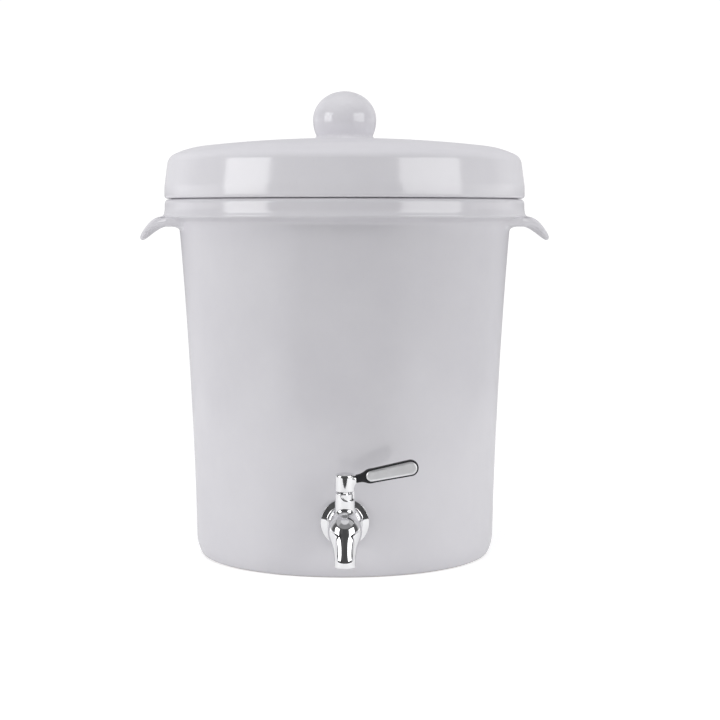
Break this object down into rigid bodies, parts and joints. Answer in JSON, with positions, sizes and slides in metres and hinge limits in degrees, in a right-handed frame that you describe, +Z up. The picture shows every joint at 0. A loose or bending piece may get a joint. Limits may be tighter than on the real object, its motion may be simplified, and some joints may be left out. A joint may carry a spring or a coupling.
{
  "type": "water filter crock",
  "caption": "Glazed stoneware crock on a flat foot, with side lugs, a domed knob lid, a clay filter pot inside and a quarter-turn lever tap low at the front.",
  "frame": {"origin": "centre of the crock's flat foot, on the surface it stands on", "axes": "+Z up; -Y towards the user, the way the tap points; +X to the user's right, the way the closed lever points"},
  "size_m": [0.3, 0.2917, 0.338],
  "materials": {
    "glaze": "gloss",
    "fired_clay": "matte",
    "ring_plastic": "satin",
    "white_silicone": "matte",
    "black_silicone": "satin",
    "ptfe": "satin",
    "polished_steel": "polished",
    "turned_steel": "satin",
    "satin_plate": "satin",
    "dark_screw": "satin"
  },
  "bodies": {
    "base": {"crock": "glaze", "tap_body": "polished_steel", "tap_shank": "turned_steel", "escutcheon": "polished_steel", "outer_gasket": "white_silicone", "inner_gasket": "white_silicone", "tap_washer": "turned_steel", "tap_nut": "turned_steel", "valve_seats": "ptfe", "thrust_washer": "ptfe", "gland_nut": "turned_steel"},
    "filter": {"filter_ring": "ring_plastic", "filter_gasket": "white_silicone", "filter_pot": "fired_clay"},
    "lid": {"lid": "glaze"},
    "lever": {"lever_cap": "polished_steel", "cap_grub_screw": "dark_screw", "lever_sleeve": "black_silicone", "lever_plate": "satin_plate", "valve_stem": "turned_steel", "stem_o_rings": "black_silicone", "valve_ball": "polished_steel"}
  },
  "joints": [
    {"name": "filter_lift", "type": "slide", "parent": "base", "child": "filter", "axis": [0, 0, 1], "range_m": [0, 0.19]},
    {"name": "lid_lift", "type": "slide", "parent": "filter", "child": "lid", "axis": [0, 0, 1], "range_m": [0, 0.12]},
    {"name": "lever_turn", "type": "hinge", "parent": "base", "child": "lever", "pos_m": [0, -0.134, 0.0713], "axis": [0, 0, 1], "range_deg": [-90, 0]}
  ]
}
